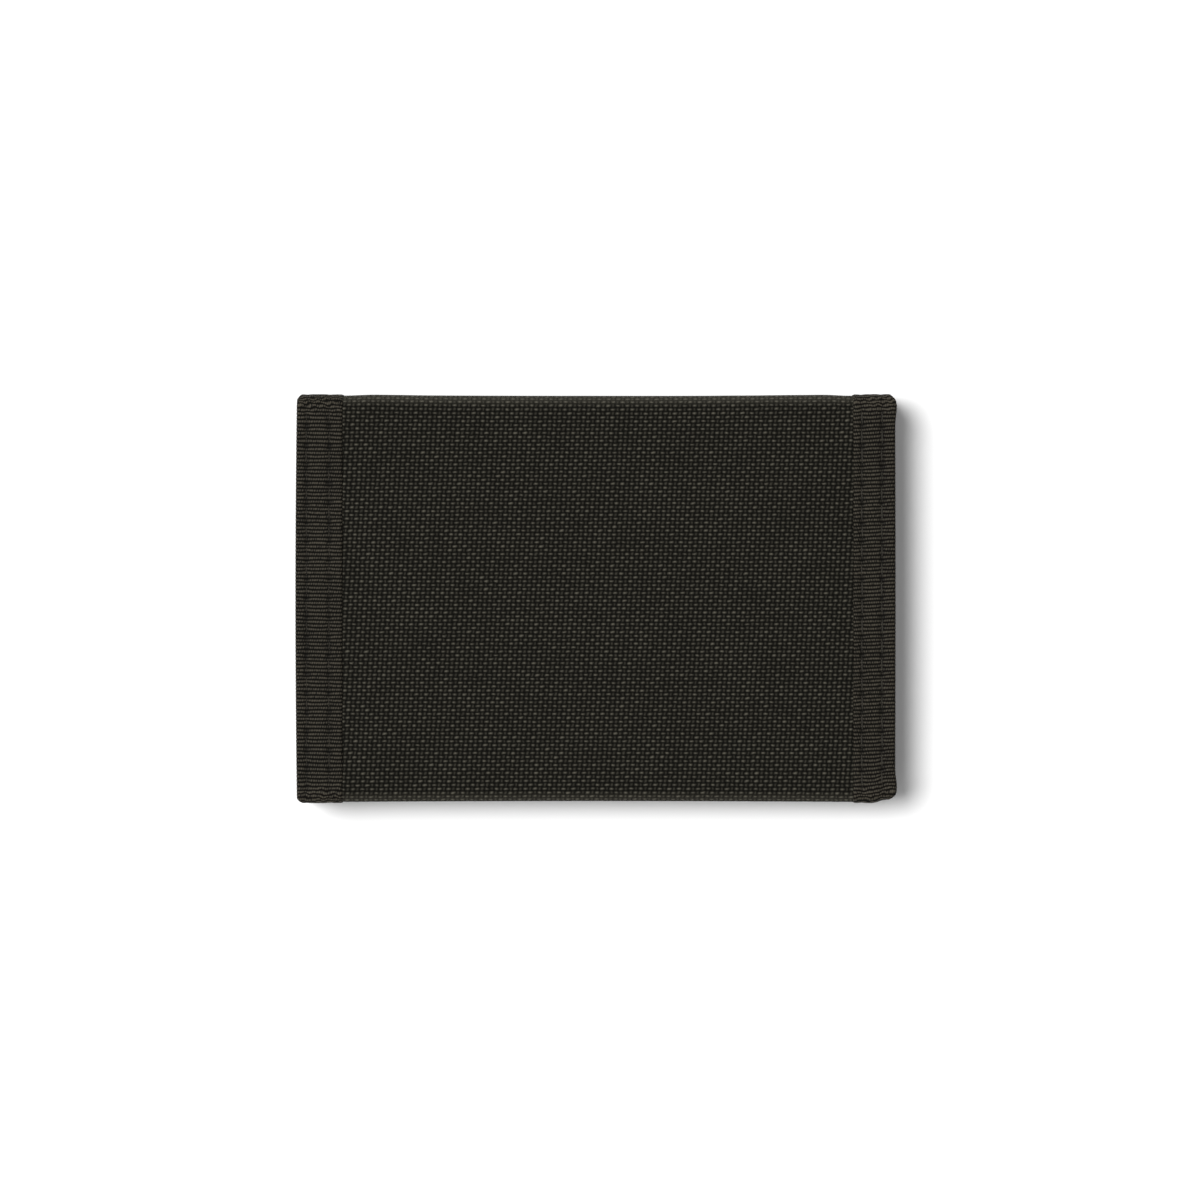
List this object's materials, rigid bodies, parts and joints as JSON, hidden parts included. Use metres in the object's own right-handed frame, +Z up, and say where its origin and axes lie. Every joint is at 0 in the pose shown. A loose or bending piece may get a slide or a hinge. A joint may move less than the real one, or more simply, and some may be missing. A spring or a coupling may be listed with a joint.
{
  "type": "bifold wallet",
  "caption": "Woven fabric bifold wallet, folded shut, with tape-bound sides, card pockets, a note compartment and a zipped coin pocket.",
  "frame": {"origin": "centre of the footprint of the closed wallet, on the surface it lies on", "axes": "+X along the fold (its long side), +Y towards the fold, +Z up out of the rear half's outer face"},
  "size_m": [0.12, 0.081, 0.0124],
  "materials": {
    "canvas": "plain-woven, warm black",
    "pocket_canvas": "plain-woven, warm black, lighter cloth",
    "binding_tape": "ribbed grosgrain, warm black",
    "thread": "twisted sewing thread, dull black",
    "lining": "smooth fine-woven, black",
    "panel_cloth": "smooth fine-woven, black",
    "board": "matte sheet",
    "zip_tape": "fine twill tape, black",
    "zip_teeth": "satin black",
    "zip_metal": "satin black paint",
    "hook": "bristly nylon hooks, black",
    "loop": "napped loops, black"
  },
  "bodies": {
    "front_half": {"binding_left_front": "binding_tape", "binding_panel_front": "binding_tape", "binding_right_front": "binding_tape", "coin_pocket_face_lower": "pocket_canvas", "coin_pocket_face_upper": "pocket_canvas", "coin_pocket_lining": "lining", "front_inner_panel": "panel_cloth", "front_lining": "lining", "front_shell": "canvas", "front_stiffener": "board", "hook_strip": "hook", "zip_stops": "zip_metal", "zip_tape_lower": "zip_tape", "zip_tape_upper": "zip_tape", "zip_teeth_lower": "zip_teeth", "zip_teeth_upper": "zip_teeth"},
    "spine": {"binding_left_spine": "binding_tape", "binding_right_spine": "binding_tape", "spine_lining": "lining", "spine_shell": "canvas"},
    "rear_half": {"binding_left_rear": "binding_tape", "binding_panel_rear": "binding_tape", "binding_right_rear": "binding_tape", "card_pocket_1": "pocket_canvas", "card_pocket_2": "pocket_canvas", "card_pocket_3": "pocket_canvas", "loop_strip": "loop", "rear_inner_panel": "panel_cloth", "rear_lining": "lining", "rear_shell": "canvas", "rear_stiffener": "board"},
    "zip_slider": {"zip_slider": "zip_metal", "zip_pull": "zip_metal"}
  },
  "joints": [
    {"name": "lower_fold", "type": "hinge", "parent": "front_half", "child": "spine", "pos_m": [0, 0.03986, 0.00064], "axis": [-1, 0, 0], "range_deg": [0, 90]},
    {"name": "upper_fold", "type": "hinge", "parent": "spine", "child": "rear_half", "pos_m": [0, 0.03986, 0.01176], "axis": [-1, 0, 0], "range_deg": [0, 90]},
    {"name": "zip_slide", "type": "slide", "parent": "front_half", "child": "zip_slider", "axis": [-1, 0, 0], "range_m": [0, 0.078]}
  ],
  "couplings": [
    {"joint": "upper_fold", "follows": "lower_fold", "ratio": 1}
  ]
}
